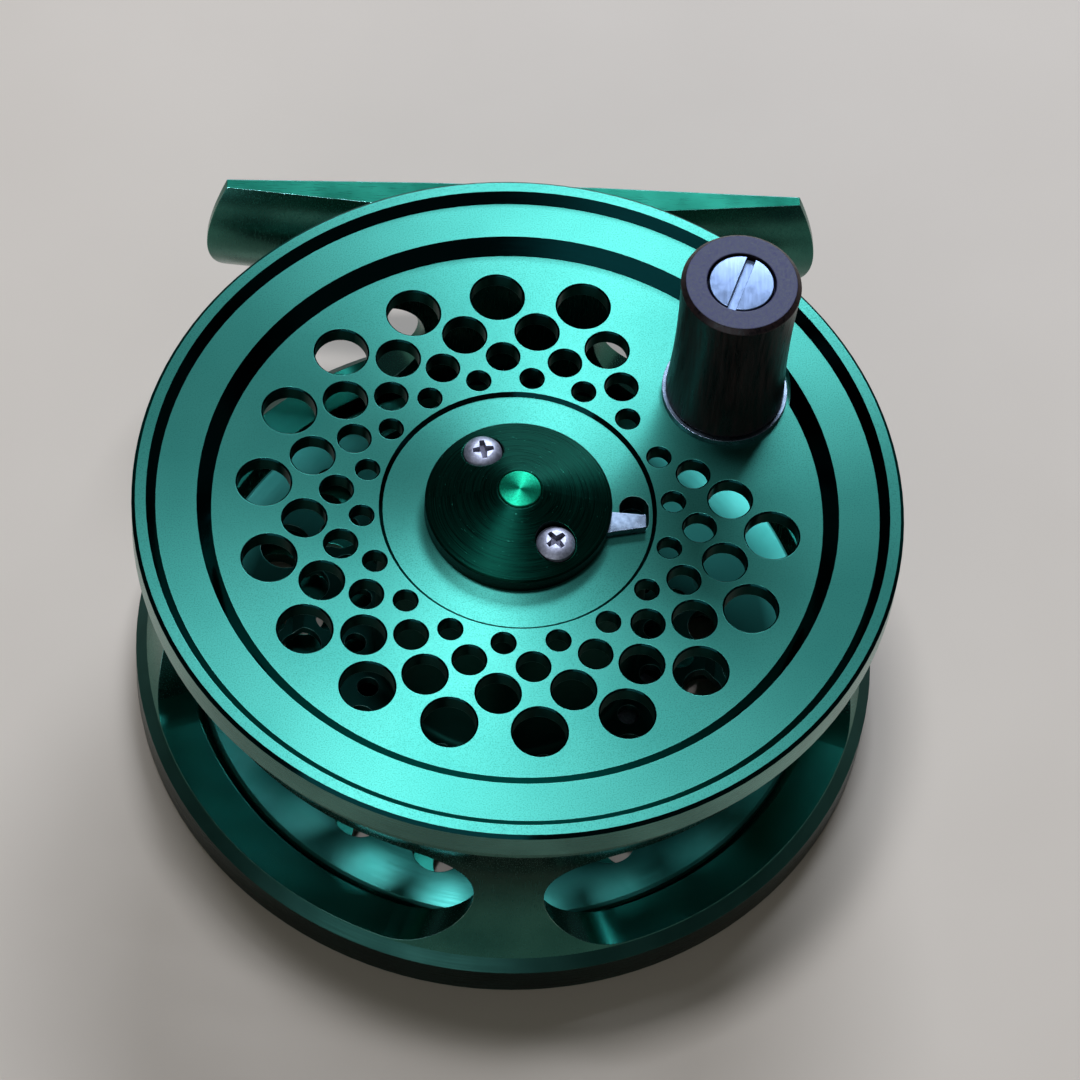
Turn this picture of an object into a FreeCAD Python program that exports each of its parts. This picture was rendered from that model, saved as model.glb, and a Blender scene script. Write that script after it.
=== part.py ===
import FreeCAD, Part
import math
import os
import re
import Sketcher

# Fly reel, in millimetres. The reel lies on its back face: +Z runs along the spool axis,
# the origin is on that axis in the plane of the back face, and the foot points to +Y.

doc = FreeCAD.newDocument("FlyReel")
sheet = doc.addObject("Spreadsheet::Sheet", "dims")

sizes = {
    # frame: a one-piece cage with a hourglass wall and four line windows
    "frame_radius": 37.9,        # lower flange of the cage
    "flange_height": 4.0,
    "flange_chamfer": 1.1,
    "edge_break": 0.3,
    "wall_thickness": 4.0,       # above and below the hollow
    "wall_hollow": 2.5,          # depth of the hollow down the outside
    "shoulder_height": 1.9,      # plain band above the hollow
    "frame_height": 28.4,
    "plate_top": 2.0,
    "back_recess": 0.4,
    "back_rim_width": 6.4,
    "back_boss_radius": 9.0,
    "window_bottom": 5.2,
    "window_rail": 7.1,          # from the windows up to the top
    "pillar_width": 6.8,
    # foot and the boss that carries it
    "foot_boss_rise": 0.2,       # how far the flat seat stands out of the wall
    "foot_pad_length": 18.0,
    "foot_width": 14.0,
    "foot_boss_margin": 0.5,
    "foot_length": 64.0,
    "foot_bulge": 2.0,           # how far each rounded end reaches past its corners
    "foot_rise": 7.5,            # from the seat to the foot's two long edges
    "rod_seat_radius": 12.0,
    "foot_root_thickness": 3.3,
    "foot_tip_thickness": 0.8,
    "foot_tip_drop": 0.45,       # how far the long edges lean in towards the tips
    "foot_screw_spacing": 11.0,
    "foot_screw_radius": 1.5,
    "foot_screw_head": 2.8,
    "foot_screw_depth": 3.5,     # how far the thread goes into the boss
    "foot_screw_key": 1.98,      # across the corners of the head's hexagon socket
    # spindle
    "spindle_radius": 3.5,
    "spindle_shoulder_width": 1.9,
    "spindle_shoulder": 0.3,
    "neck_plate": 3.2,           # the hub's front disc above the spindle's step
    "neck_radius": 2.1,
    "spindle_proud": 0.15,
    "groove_depth": 0.5,
    "spindle_screw_radius": 1.5,
    "spindle_screw_head": 3.0,
    "spindle_screw_length": 10.0,
    "spindle_screw_slot": 0.8,
    "spindle_screw_slot_depth": 0.6,
    "washer_thickness": 0.4,
    # clearances
    "running_fit": 0.05,
    "press_gap": 0.01,
    "screw_gap": 0.08,
    "thread_gap": 0.02,
    "end_play": 0.1,
    "latch_gap": 0.05,
    # spool
    "spool_overhang": 0.1,       # past the cage's lower flange
    "rim_gap": 0.6,
    "rim_thickness": 3.8,
    "rim_chamfer": 0.35,
    "rim_band": 1.05,
    "outer_bevel": 0.95,
    "mid_band": 4.0,
    "face_drop": 1.45,           # from the band down to the drilled face
    "web_thickness": 1.8,
    "hub_step_out": 0.15,        # past the arbor
    "hub_step": 0.4,
    "inner_lip": 1.3,            # lip that runs inside the cage, against trapped line
    "lip_depth": 1.0,
    "bore_gap": 0.5,
    "arbor_radius": 13.6,
    "arbor_wall": 1.2,
    "arbor_fillet": 0.7,
    "rear_gap": 1.0,             # between the rear flange's rim and the cage
    "rear_lift": 1.3,            # between the back plate and the rear flange
    "rear_thickness": 1.1,
    "dish_clear": 0.25,          # over the heads of the pawl posts
    "rear_step_radius": 21.9,
    "hub_wall": 1.35,
    "bush_wall": 1.0,
    "bush_length": 6.0,
    "hub_plate": 4.0,            # thickness of the hub's front disc
    "neck_gap": 0.5,
    # drilled pattern, shared by the face, the rear flange and the back plate
    "hole_count": 18,
    "ring_edge": 2.35,           # from the outermost holes to the edge of the face
    "ring_two_share": 0.4468,    # of the way from the hub's step to the edge of the face
    "ring_three_share": 0.2584,
    "ring_four_share": 0.1033,
    "hole_one": 2.65,
    "hole_two": 2.14,
    "hole_three": 1.59,
    "hole_four": 1.12,
    "hole_chamfer": 0.16,
    "knob_angle": 34.8,
    # knob
    "spotface_gap": 0.35,
    "knob_height": 19.6,         # above the drilled face
    "knob_top_radius": 5.9,
    "knob_base_radius": 5.95,
    "knob_base_break": 0.2,
    "knob_waist_arc": 150.0,     # radius of the hollow down the knob's side
    "knob_chamfer": 0.45,
    "knob_chamfer_height": 0.5,
    "washer_overhang": 0.35,
    "knob_washer": 0.75,
    "knob_boss_radius": 3.5,
    "knob_boss": 2.0,
    "sleeve_wall": 1.02,
    "knob_screw_radius": 1.5,
    "knob_head_radius": 3.18,
    "knob_head": 1.25,
    "knob_head_recess": 0.05,
    "knob_head_gap": 0.22,
    "knob_head_edge": 0.08,
    "knob_slot": 0.92,
    "knob_slot_depth": 0.6,
    "knob_slot_angle": 70.5,
    # hub cap, its screws and the spool latch
    "hub_land": 4.1,             # from the cap out to the hub's step
    "cap_edge": 1.75,
    "cap_break": 0.15,           # broken edge round the cap and its bore
    "cap_height": 4.0,
    "cap_wall": 1.25,
    "cap_screw_angle": 124.9,
    "cap_screw_radius": 1.0,
    "cap_head_radius": 1.9,
    "cap_head": 1.2,
    "cap_floor": 1.9,            # under the screw heads
    "cross_width": 0.62,
    "cross_length": 2.1,
    "cross_depth": 0.85,
    "latch_thickness": 0.9,
    "latch_throw": 0.6,          # how far the ring is off the spindle's axis at rest
    "latch_ring_width": 1.25,
    "latch_side_gap": 0.15,
    "latch_eye": 1.6,
    "latch_arm": 2.6,            # width of the arm where it meets the ring
    "latch_hole_gap": 0.25,
    "thumb_reach": 3.35,         # how far the thumb piece stands out of the cap
    "latch_high": -0.45,         # the thumb piece's two sides where it leaves the cap
    "latch_low": -2.83,
    "latch_taper": 0.45,
    "latch_joggle": 0.15,        # small step in the thumb piece's low side
    "latch_pin": 0.7,
    "notch_gap": 0.4,
    "slot_radius": 1.48,
    "slot_out": 2.25,
    "slot_low": -0.85,
    "slot_high": 0.6,
    "slot_depth": 2.4,
    "pin_drop": 0.55,            # the pin's place below the slot's low centre, and inward of it
    "pin_inset": 0.2,
    "spring_wire": 0.2,
    "spring_inset": 1.2,
    # click: gear on the spool, two pawls on the back plate
    "gear_teeth": 24,
    "gear_web": 1.28,
    "tooth_height": 1.0,
    "gear_thickness": 1.5,
    "tooth_root_width": 1.3,
    "tooth_tip_width": 0.4,
    "pawl_angle": 35.0,          # below the X axis, one pawl on each side
    "pawl_length": 5.85,         # from the nose to the pivot
    "pawl_eye": 2.4,
    "pawl_flat": 1.9,
    "pawl_thickness": 1.3,
    "pawl_lift": 0.3,            # above the plate
    "pawl_nose_gap": 0.15,
    "pawl_nose_width": 0.5,
    "post_radius": 1.2,
    "post_head_radius": 1.9,
    "post_head": 0.45,
    "post_root": 0.9,            # both the root's radius and how deep below the plate's top it goes
    "leaf_thickness": 0.35,
    "leaf_gap": 0.42,
    "leaf_reach": 2.4,
    "leaf_length": 9.0,
    "leaf_tab": 3.8,
    "leaf_screw_radius": 0.8,
    "leaf_screw_head": 1.4,
    "leaf_screw_crown": 0.7,
}
for row, (alias, number) in enumerate(sizes.items(), start=1):
    sheet.set("A%d" % row, alias)
    sheet.set("B%d" % row, str(number))
    sheet.setAlias("B%d" % row, alias)
doc.recompute()

# sizes that follow from the driving ones, so that neighbouring pieces change together
follow = {
    "wall_radius": "(frame_radius - flange_chamfer)",
    "wall_half": "((frame_height - shoulder_height - flange_height - flange_chamfer) / 2)",
    "hollow_arc": "((pow(wall_half; 2) + pow(wall_hollow; 2)) / (2 * wall_hollow))",
    "frame_bore": "(wall_radius - wall_thickness)",
    "window_top": "(frame_height - window_rail)",
    "pillar_waist": "(wall_radius - wall_hollow)",
    "foot_seat": "(wall_radius + foot_boss_rise)",
    "foot_edge": "(foot_seat + foot_rise)",
    "spool_radius": "(frame_radius + spool_overhang)",
    "rim_bottom": "(frame_height + rim_gap)",
    "rim_height": "(rim_bottom + rim_thickness)",
    "mid_height": "(rim_height - outer_bevel)",
    "web_height": "(mid_height - face_drop)",
    "band_radius": "(spool_radius - rim_chamfer - rim_band - outer_bevel)",
    "web_radius": "(band_radius - mid_band - face_drop)",
    "hub_height": "(web_height - hub_step)",
    "hub_step_radius": "(arbor_radius + hub_step_out)",
    "rear_band_top": "(plate_top + rear_lift + rear_thickness)",
    "rear_step": "(pawl_lift + pawl_thickness + end_play + post_head + dish_clear - rear_lift)",
    "ring_span": "(web_radius - hub_step_radius)",
    "ring_one": "(web_radius - ring_edge - hole_one)",
    "ring_two": "(hub_step_radius + ring_span * ring_two_share)",
    "ring_three": "(hub_step_radius + ring_span * ring_three_share)",
    "ring_four": "(hub_step_radius + ring_span * ring_four_share)",
    "spindle_shoulder_radius": "(spindle_radius + spindle_shoulder_width)",
    "spindle_step": "(hub_height - neck_plate)",
    "groove_radius": "(neck_radius - groove_depth)",
    "neck_hole": "(neck_radius + neck_gap)",
    "cap_radius": "(hub_step_radius - hub_step - hub_land)",
    "cap_top": "(hub_height + cap_height)",
    "spindle_top": "(cap_top + spindle_proud)",
    "cap_cavity": "(cap_radius - cap_wall)",
    "cavity_depth": "(latch_thickness + latch_gap * 4)",
    "cap_screw_ring": "(cap_cavity - latch_eye - latch_side_gap)",
    "cap_head_floor": "(hub_height + cap_floor)",
    "cap_screw_length": "(cap_floor + hub_plate - cap_screw_radius)",
    "latch_hole": "(neck_radius + latch_hole_gap)",
    "latch_ring": "(latch_hole + latch_ring_width)",
    "latch_inner": "(cap_radius + latch_gap)",
    "latch_tip": "(cap_radius + thumb_reach)",
    "slot_centre": "(cap_radius + slot_out)",
    "spring_ring": "(cap_cavity - spring_inset)",
    "knob_top": "(web_height + knob_height)",
    "knob_washer_radius": "(knob_base_radius + washer_overhang)",
    "spotface": "(knob_washer_radius + spotface_gap)",
    "sleeve_radius": "(knob_screw_radius + screw_gap + sleeve_wall)",
    "hub_radius": "(spindle_radius + running_fit + bush_wall + press_gap + hub_wall)",
    "gear_root": "(hub_radius + press_gap + gear_web)",
    "gear_tip": "(gear_root + tooth_height)",
    "pawl_ring": "(gear_tip + pawl_nose_gap + pawl_length)",
}

follow_pattern = re.compile(r"\b(" + "|".join(sorted(follow, key=len, reverse=True)) + r")\b")
alias_pattern = re.compile(r"\b(" + "|".join(sorted(sizes, key=len, reverse=True)) + r")\b")

# sizes that several pieces share, each worked out from the driving ones
foot_height = "((flange_height + flange_chamfer + frame_height - shoulder_height) / 2)"
window_middle = "((window_bottom + window_top) / 2)"
window_end = "((window_top - window_bottom) / 2)"
web_under = "(web_height - web_thickness)"
hub_bottom = "(plate_top + spindle_shoulder + washer_thickness + end_play)"
bush_radius = "(spindle_radius + running_fit + bush_wall)"
hub_bore = "(" + bush_radius + " + press_gap)"
hub_under = "(hub_height - hub_plate)"
bush_shoulder = "(spindle_step + end_play)"
rear_radius = "(frame_bore - rear_gap)"
dish_top = "(rear_band_top + rear_step)"
knob_x = "(ring_one * cos(knob_angle))"
knob_y = "(ring_one * sin(knob_angle))"
sleeve_bottom = "(web_height + knob_washer)"
head_seat = "(knob_top - knob_head_recess - knob_head)"
latch_bottom = "(hub_height + latch_gap)"
pivot_x = "(cap_screw_ring * cos(cap_screw_angle))"
pivot_y = "(cap_screw_ring * sin(cap_screw_angle))"
pawl_bottom = "(plate_top + pawl_lift)"
pawl_turns = ("-pawl_angle", "(180 + pawl_angle)")
root_floor = "(plate_top - post_root)"
leaf_face = "(pawl_ring + pawl_flat + leaf_gap)"
leaf_screw_out = "(" + leaf_face + " + leaf_thickness - leaf_tab / 2)"
leaf_screw_along = "(leaf_length - leaf_reach - leaf_tab / 2)"
rod_centre = "(foot_edge + sqrt(pow(rod_seat_radius; 2) - pow(foot_width / 2; 2)))"


def bound(text):
    """Write out each following size, and put the sheet's name in front of each driving one."""
    while follow_pattern.search(text):
        text = follow_pattern.sub(lambda found: follow[found.group(1)], text)
    return alias_pattern.sub(r"dims.\1", text)


def number(text):
    result = sheet.evalExpression(bound(text))
    return float(getattr(result, "Value", result))


def new_body(label):
    body = doc.addObject("PartDesign::Body", label)
    body.Label = label
    return body


def origin_part(body, role):
    """One of the body's own origin planes or axes, by its role."""
    return [part for part in body.Origin.OriginFeatures if part.Role == role][0]


def new_sketch(body, role, offset="0", turn=None, shift=None):
    """A sketch on one of the body's own origin planes, moved along its normal by offset.

    turn swings an upright sketch about the Z axis; shift moves it in its own plane.
    """
    sketch = body.newObject("Sketcher::SketchObject", "sketch")
    sketch.AttachmentSupport = [(origin_part(body, role), "")]
    sketch.MapMode = "FlatFace"
    if turn is not None:
        upright = FreeCAD.Rotation(FreeCAD.Vector(0, 1, 0), 1)
        sketch.AttachmentOffset = FreeCAD.Placement(FreeCAD.Vector(), upright)
        sketch.setExpression("AttachmentOffset.Rotation.Angle", bound(turn))
    sketch.setExpression("AttachmentOffset.Base.z", bound(offset))
    if shift is not None:
        sketch.setExpression("AttachmentOffset.Base.x", bound(shift[0]))
        sketch.setExpression("AttachmentOffset.Base.y", bound(shift[1]))
    return sketch


def place_vertex(sketch, geometry, end, across, up):
    """Tie one vertex to the sketch's origin by two bound distances."""
    for kind, text in (("DistanceX", across), ("DistanceY", up)):
        index = sketch.addConstraint(Sketcher.Constraint(kind, -1, 1, geometry, end, number(text)))
        sketch.setExpression("Constraints[%d]" % index, bound(text))


def draw_outline(sketch, corners):
    """Draw a closed outline. A corner is (x, y), reached by a line from the one before,
    or (x, y, radius, side), reached by an arc whose centre lies left (1) or right (-1)."""
    spots = [FreeCAD.Vector(number(corner[0]), number(corner[1]), 0) for corner in corners]
    ends = []
    for index, corner in enumerate(corners):
        start, finish = spots[index - 1], spots[index]
        if len(corner) == 2:
            geometry = sketch.addGeometry(Part.LineSegment(start, finish), False)
            ends.append((geometry, 1, 2))
            continue
        radius, side = number(corner[2]), corner[3]
        half = (finish - start) / 2
        normal = FreeCAD.Vector(-half.y, half.x, 0).normalize() * side
        centre = start + half + normal * math.sqrt(radius ** 2 - half.Length ** 2)
        circle = Part.Circle(centre, FreeCAD.Vector(0, 0, 1), radius)
        turns = [math.atan2(spot.y - centre.y, spot.x - centre.x) for spot in (start, finish)]
        if side < 0:
            turns.reverse()
        geometry = sketch.addGeometry(Part.ArcOfCircle(circle, turns[0], turns[1]), False)
        ends.append((geometry, 1, 2) if side > 0 else (geometry, 2, 1))
        constraint = sketch.addConstraint(Sketcher.Constraint("Radius", geometry, radius))
        sketch.setExpression("Constraints[%d]" % constraint, bound(corner[2]))
    for index, (geometry, _, finish_end) in enumerate(ends):
        following, start_end, _ = ends[(index + 1) % len(ends)]
        joined = Sketcher.Constraint("Coincident", geometry, finish_end, following, start_end)
        sketch.addConstraint(joined)
        place_vertex(sketch, geometry, finish_end, corners[index][0], corners[index][1])


def draw_circle(sketch, across, up, radius):
    centre = FreeCAD.Vector(number(across), number(up), 0)
    circle = Part.Circle(centre, FreeCAD.Vector(0, 0, 1), number(radius))
    geometry = sketch.addGeometry(circle, False)
    place_vertex(sketch, geometry, 3, across, up)
    index = sketch.addConstraint(Sketcher.Constraint("Radius", geometry, number(radius)))
    sketch.setExpression("Constraints[%d]" % index, bound(radius))


def add_feature(body, kind, sketch, cuts=False, **settings):
    """Add one feature and stop at once if a cut removes nothing."""
    before = body.Shape.Volume if cuts else 0
    feature = body.newObject("PartDesign::" + kind, kind.lower())
    feature.Profile = (sketch, [""])
    if kind in ("Revolution", "Groove"):
        feature.ReferenceAxis = (sketch, [settings.pop("axis", "V_Axis")])
        feature.Angle = 360
    for name, setting in settings.items():
        if isinstance(setting, str) and name in ("Length", "Angle"):
            feature.setExpression(name, bound(setting))
        else:
            setattr(feature, name, setting)
    doc.recompute()
    if cuts and body.Shape.Volume > before - 1e-6:
        raise RuntimeError(body.Label + ": " + feature.Name + " cuts nothing")
    return feature


def turned(body, corners, kind="Revolution", role="XZ_Plane", axis="V_Axis", **place):
    """Turn an outline (radius, height) about the body's axis, or cut it away with a Groove."""
    sketch = new_sketch(body, role, **place)
    draw_outline(sketch, corners)
    return add_feature(body, kind, sketch, cuts=kind == "Groove", axis=axis)


def pad_outline(body, corners, bottom, height):
    sketch = new_sketch(body, "XY_Plane", offset=bottom)
    draw_outline(sketch, corners)
    return add_feature(body, "Pad", sketch, Length=height)


def pad_disc(body, across, up, radius, bottom, height):
    sketch = new_sketch(body, "XY_Plane", offset=bottom)
    draw_circle(sketch, across, up, radius)
    return add_feature(body, "Pad", sketch, Length=height)


def drill(body, across, up, radius, bottom, height):
    """Cut a round hole along Z from bottom over height."""
    sketch = new_sketch(body, "XY_Plane", offset=bottom)
    draw_circle(sketch, across, up, radius)
    return add_feature(body, "Pocket", sketch, cuts=True, Length=height, Reversed=True)


def repeat(body, features, count, angle="360"):
    """Repeat features about the Z axis; the pattern becomes the body's tip."""
    pattern = body.newObject("PartDesign::PolarPattern", "pattern")
    pattern.Originals = features
    pattern.Axis = (origin_part(body, "Z_Axis"), [""])
    pattern.setExpression("Angle", bound(angle))
    pattern.setExpression("Occurrences", bound(count))
    body.Tip = pattern
    doc.recompute()
    return pattern


def mirror(body, features):
    """Mirror features across the plane X = 0. The mirror becomes the body's tip."""
    mirrored = body.newObject("PartDesign::Mirrored", "mirrored")
    mirrored.Originals = features
    mirrored.MirrorPlane = (origin_part(body, "YZ_Plane"), [""])
    body.Tip = mirrored
    doc.recompute()
    return mirrored


def spot(turn, out, aside="0"):
    """The place out along the direction turn and aside to its left, as two expressions."""
    x = out + " * cos(" + turn + ") - " + aside + " * sin(" + turn + ")"
    y = out + " * sin(" + turn + ") + " + aside + " * cos(" + turn + ")"
    return "(" + x + ")", "(" + y + ")"


def rectangle(left, right, low, high):
    return [(left, low), (right, low), (right, high), (left, high)]


def turned_rectangle(turn, half_length, half_width):
    """A rectangle round the origin, its long sides in the direction turn."""
    corners = ((half_length, half_width), ("-" + half_length, half_width),
               ("-" + half_length, "-" + half_width), (half_length, "-" + half_width))
    return [spot(turn, out, aside) for out, aside in corners]


def pan_screw(body, x, y, seat, head_radius, head, radius, length):
    """A pan head screw that stands along Z: its head is on seat, its shank goes down."""
    crown = "(" + seat + " + " + head + ")"
    corners = [("0", seat + " - " + length), (radius + " * 0.7", seat + " - " + length),
               (radius, seat + " - " + length + " + " + radius + " * 0.3"), (radius, seat),
               (head_radius, seat), (head_radius, seat + " + " + head + " * 0.45"),
               (head_radius + " * 0.5", crown, head_radius + " * 0.85", 1), ("0", crown)]
    return turned(body, corners, offset="-(" + y + ")", shift=(x, "0"))


# frame ---------------------------------------------------------------------------------

def cage_profile():
    """Half section of the cage before it is bored: hollow wall, chamfered flange."""
    shoulder = "frame_height - shoulder_height"
    inner = "frame_radius - back_rim_width"
    return [("0", "0"), ("back_boss_radius", "0"), ("back_boss_radius + back_recess", "back_recess"),
            (inner + " - back_recess", "back_recess"), (inner, "0"),
            ("frame_radius - edge_break", "0"), ("frame_radius", "edge_break"),
            ("frame_radius", "flange_height"),
            ("wall_radius", "flange_height + frame_radius - wall_radius"),
            ("wall_radius", shoulder, "hollow_arc", -1),
            ("wall_radius", "frame_height - edge_break"), ("wall_radius - edge_break", "frame_height"),
            ("0", "frame_height")]


def cut_window(body, start, finish):
    """One line window between two directions, milled radially with full-radius ends."""
    middle = "(" + start + " + " + finish + ") / 2"
    sector = new_sketch(body, "XZ_Plane", turn=middle)
    draw_outline(sector, rectangle("frame_bore / 2", "frame_radius + 5",
                                   "window_bottom", "window_top"))
    sweep = finish + " - (" + start + ")"
    cuts = [add_feature(body, "Groove", sector, cuts=True, Midplane=True, Angle=sweep)]
    for direction in (start, finish):
        end = new_sketch(body, "XZ_Plane", turn=direction + " + 90 deg")
        draw_circle(end, "0", window_middle, window_end)
        cuts.append(add_feature(body, "Pocket", end, cuts=True, Length="frame_radius + 5",
                                Reversed=True))
    return cuts


def make_frame():
    body = new_body("frame")
    turned(body, cage_profile())
    half_pad = "foot_pad_length / 2"
    half_boss = "(foot_width / 2 + foot_boss_margin)"
    boss = new_sketch(body, "XZ_Plane", offset="-foot_seat")
    draw_outline(boss, rectangle("-" + half_pad, half_pad, foot_height + " - " + half_boss,
                                 foot_height + " + " + half_boss))
    add_feature(body, "Pad", boss, Length="foot_seat - frame_bore / 2")
    turned(body, [("0", "plate_top"), ("frame_bore", "plate_top"), ("frame_bore", "frame_height + 1"),
                  ("0", "frame_height + 1")], "Groove")
    swing = "asin(" + window_end + " / pillar_waist)"
    from_pillar = "(asin(pillar_width / 2 / pillar_waist) + " + swing + ")"
    from_foot = "(asin((foot_pad_length / 2 + edge_break * 2) / pillar_waist) + " + swing + ")"
    cuts = cut_window(body, "(270 deg + " + from_pillar + ")", "(360 deg - " + from_pillar + ")")
    cuts += cut_window(body, from_pillar, "(90 deg - " + from_foot + ")")
    mirror(body, cuts)
    for ring, radius, turn in (("ring_one", "hole_one", "0"),
                               ("ring_two", "hole_two", "180 / hole_count")):
        x, y = spot(turn, ring)
        hole = drill(body, x, y, radius, "-1", "plate_top + 2")
        repeat(body, [hole], "hole_count")
    sink = "spindle_screw_head + screw_gap"
    clear = "spindle_screw_radius + screw_gap"
    turned(body, [("0", "-1"), (sink, "-1"), (sink, "0"),
                  (clear, "spindle_screw_head - spindle_screw_radius"), (clear, "plate_top + 1"),
                  ("0", "plate_top + 1")], "Groove")
    tapped = new_sketch(body, "XZ_Plane", offset="-foot_seat - 1")
    draw_circle(tapped, "foot_screw_spacing / 2", foot_height, "foot_screw_radius + thread_gap")
    depth = "foot_screw_depth + 1 + end_play"
    hole = add_feature(body, "Pocket", tapped, cuts=True, Length=depth, Reversed=True)
    mirror(body, [hole])
    for turn in pawl_turns:
        x, y = spot(turn, "pawl_ring")
        drill(body, x, y, "post_root + thread_gap", root_floor + " - end_play", "plate_top")
        x, y = spot(turn, leaf_screw_out, leaf_screw_along)
        drill(body, x, y, "leaf_screw_radius + thread_gap", root_floor + " - end_play", "plate_top")
    return body


# foot ----------------------------------------------------------------------------------

def foot_section(edge, thickness):
    """Section of the foot across its length: hollow on the rod's side, crowned on the other."""
    low = foot_height + " - foot_width / 2"
    high = foot_height + " + foot_width / 2"
    inner = edge + " - " + thickness
    return [(edge, low), (edge, high, "rod_seat_radius", -1), (inner, high),
            (inner, low, "rod_seat_radius", 1)]


def make_foot():
    body = new_body("reel_foot")
    low = foot_height + " - foot_width / 2"
    high = foot_height + " + foot_width / 2"
    block = new_sketch(body, "YZ_Plane", offset="-foot_pad_length / 2")
    draw_outline(block, [("foot_edge", low), ("foot_edge", high, "rod_seat_radius", -1),
                         ("foot_seat", high), ("foot_seat", low)])
    add_feature(body, "Pad", block, Length="foot_pad_length")
    root = new_sketch(body, "YZ_Plane", offset="foot_pad_length / 2")
    draw_outline(root, foot_section("foot_edge", "foot_root_thickness"))
    tip = new_sketch(body, "YZ_Plane", offset="foot_length / 2")
    draw_outline(tip, foot_section("foot_edge - foot_tip_drop", "foot_tip_thickness"))
    blade = body.newObject("PartDesign::AdditiveLoft", "blade")
    blade.Profile = (root, [""])
    blade.Sections = [(tip, [""])]
    blade.Ruled = True
    doc.recompute()
    corner = "foot_length / 2 - foot_bulge"
    end_radius = "((pow(foot_width / 2; 2) + pow(foot_bulge; 2)) / 2 / foot_bulge)"
    trim = new_sketch(body, "XZ_Plane")
    draw_outline(trim, [(corner, high + " + 1"), ("foot_length / 2 + 1", high + " + 1"),
                        ("foot_length / 2 + 1", low + " - 1"), (corner, low + " - 1"), (corner, low),
                        (corner, high, end_radius, 1)])
    rounding = add_feature(body, "Pocket", trim, cuts=True, Type="ThroughAll")
    mirror(body, [blade, rounding])
    crown = rod_centre + " - rod_seat_radius"
    head = "foot_screw_head + screw_gap"
    clear = "foot_screw_radius + screw_gap"
    hole = turned(body, [(crown + " + 3", "0"), (crown + " + 3", head), (crown, head),
                         (crown + " - foot_screw_head + foot_screw_radius", clear),
                         ("foot_seat - 1", clear), ("foot_seat - 1", "0")],
                  "Groove", "YZ_Plane", "H_Axis", offset="foot_screw_spacing / 2",
                  shift=("0", foot_height))
    mirror(body, [hole])
    return body


def make_foot_screws():
    body = new_body("foot_screws")
    crown = rod_centre + " - rod_seat_radius - screw_gap"
    tip = "foot_seat - foot_screw_depth"
    screw = turned(body, [(crown, "0"), (crown, "foot_screw_head"),
                          (crown + " - foot_screw_head + foot_screw_radius", "foot_screw_radius"),
                          (tip, "foot_screw_radius"), (tip, "0")],
                   role="YZ_Plane", axis="H_Axis", offset="foot_screw_spacing / 2",
                   shift=("0", foot_height))
    socket = new_sketch(body, "XZ_Plane", offset="-(" + crown + " - foot_screw_head * 0.4)")
    corners = [spot(str(60 * step), "foot_screw_key / 2") for step in range(6)]
    draw_outline(socket, [("foot_screw_spacing / 2 + " + x, foot_height + " + " + y)
                          for x, y in corners])
    key = add_feature(body, "Pocket", socket, cuts=True, Length="foot_screw_head")
    mirror(body, [screw, key])
    return body


# spindle -------------------------------------------------------------------------------

def make_spindle():
    body = new_body("spindle")
    groove_low = latch_bottom + " - latch_gap * 2"
    groove_high = latch_bottom + " + latch_thickness + latch_gap * 2"
    turned(body, [("0", "plate_top"), ("spindle_shoulder_radius", "plate_top"),
                  ("spindle_shoulder_radius", "plate_top + spindle_shoulder"),
                  ("spindle_radius", "plate_top + spindle_shoulder"),
                  ("spindle_radius", "spindle_step - edge_break"),
                  ("spindle_radius - edge_break", "spindle_step"), ("neck_radius", "spindle_step"),
                  ("neck_radius", groove_low), ("groove_radius", groove_low),
                  ("groove_radius", groove_high), ("neck_radius", groove_high),
                  ("neck_radius", "spindle_top - edge_break / 3"),
                  ("neck_radius - edge_break / 3", "spindle_top"), ("0", "spindle_top")])
    depth = "spindle_screw_length - plate_top + 2"
    drill(body, "0", "0", "spindle_screw_radius + thread_gap", "plate_top - 1", depth)
    return body


def make_spindle_screw():
    body = new_body("spindle_screw")
    turned(body, [("0", "0"), ("spindle_screw_head", "0"),
                  ("spindle_screw_radius", "spindle_screw_head - spindle_screw_radius"),
                  ("spindle_screw_radius", "spindle_screw_length"), ("0", "spindle_screw_length")])
    slot = new_sketch(body, "XY_Plane", offset="-1")
    draw_outline(slot, rectangle("-spindle_screw_head - 1", "spindle_screw_head + 1",
                                 "-spindle_screw_slot / 2", "spindle_screw_slot / 2"))
    add_feature(body, "Pocket", slot, cuts=True, Length="spindle_screw_slot_depth + 1", Reversed=True)
    return body


def make_ring(label, inner, outer, bottom, height):
    """A plain turned ring: washer, bush or sleeve."""
    body = new_body(label)
    top = "(" + bottom + ") + (" + height + ")"
    turned(body, [(inner, bottom), (outer, bottom), (outer, top), (inner, top)])
    return body


# spool ---------------------------------------------------------------------------------

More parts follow.
